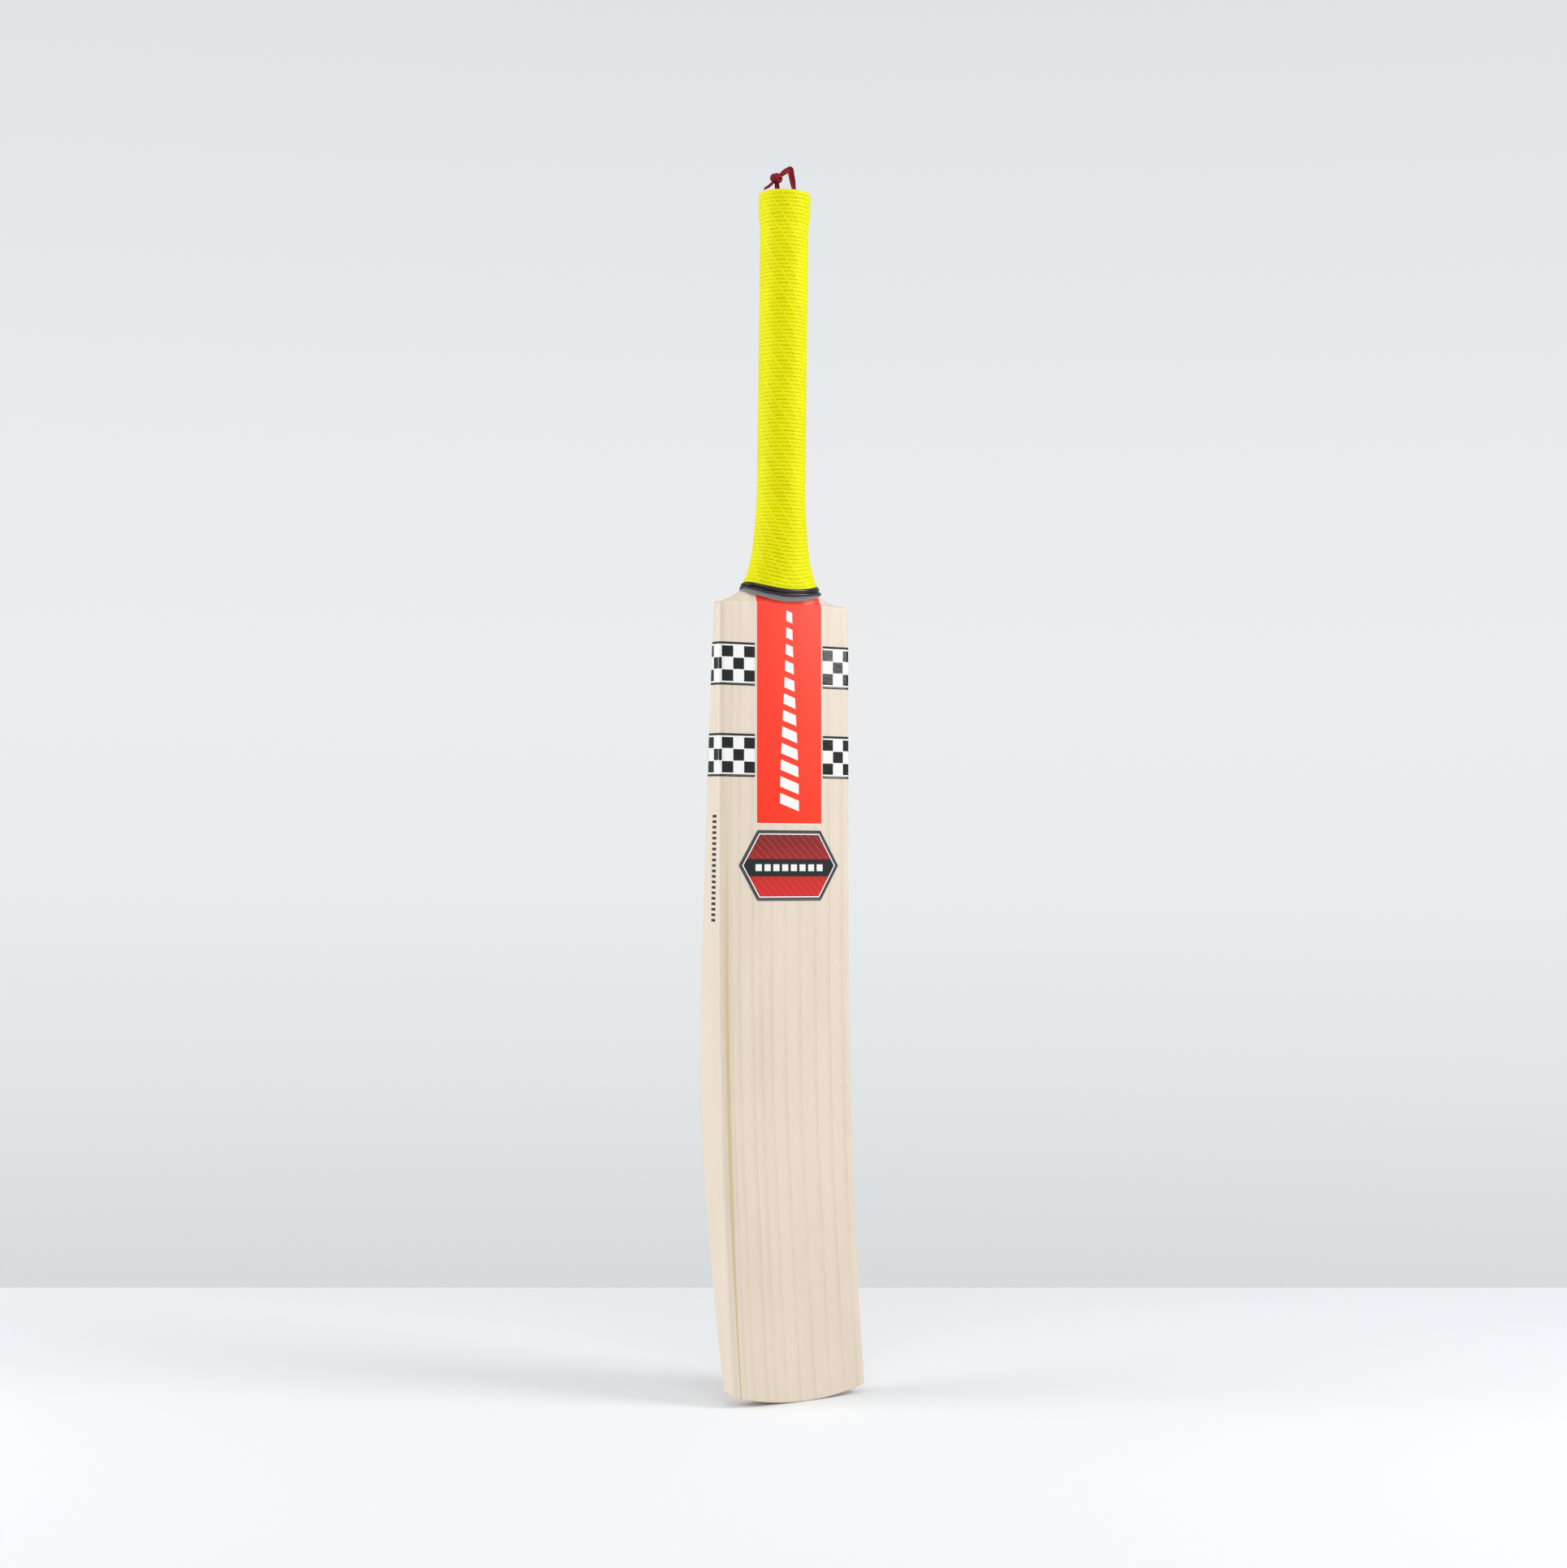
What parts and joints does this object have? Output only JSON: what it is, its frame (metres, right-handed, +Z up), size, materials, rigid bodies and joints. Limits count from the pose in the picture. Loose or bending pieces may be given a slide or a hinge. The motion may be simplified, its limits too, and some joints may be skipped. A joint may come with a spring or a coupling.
{
  "type": "cricket bat",
  "caption": "Full-size cricket bat: a wide bowed willow blade with a spined back, and a cane handle spliced into it under a tubular rubber grip that flares at the shoulder.",
  "frame": {"origin": "centre of the base of the bat's bounding box, under the toe it stands on; the hanging ribbon is not counted", "axes": "+Z up from the toe along the bat to the end of the handle; -Y is the way the hitting face looks; +X runs from edge to edge, to the right as the face is seen"},
  "size_m": [0.108, 0.0876, 0.876],
  "materials": {
    "willow": "pressed and sanded, thin clear film",
    "cane": "sawn",
    "spring_rubber": "matte",
    "twine": "waxed thread",
    "grip_rubber": "matte, moulded pattern",
    "ring_rubber": "glossy",
    "red_film": "semi-gloss film",
    "badge_film": "semi-gloss film",
    "checker_film": "gloss film",
    "decal_film": "satin film",
    "ribbon": "satin weave"
  },
  "bodies": {
    "root": {"blade": "willow", "cane_slip_front_1": "cane", "cane_slip_front_2": "cane", "cane_slip_front_3": "cane", "cane_slip_front_4": "cane", "cane_slip_middle_1": "cane", "cane_slip_middle_2": "cane", "cane_slip_middle_3": "cane", "cane_slip_middle_4": "cane", "cane_slip_back_1": "cane", "cane_slip_back_2": "cane", "cane_slip_back_3": "cane", "cane_slip_back_4": "cane", "rubber_spring_front": "spring_rubber", "rubber_spring_back": "spring_rubber", "twine_binding": "twine", "grip_ring": "ring_rubber", "grip": "grip_rubber", "face_label": "red_film", "back_label": "red_film", "upper_band_left": "checker_film", "upper_band_right": "checker_film", "lower_band_left": "checker_film", "lower_band_right": "checker_film", "edge_decal": "decal_film", "badge_label": "badge_film", "hang_ribbon": "ribbon", "ribbon_knot": "ribbon", "ribbon_tail": "ribbon"}
  },
  "joints": []
}
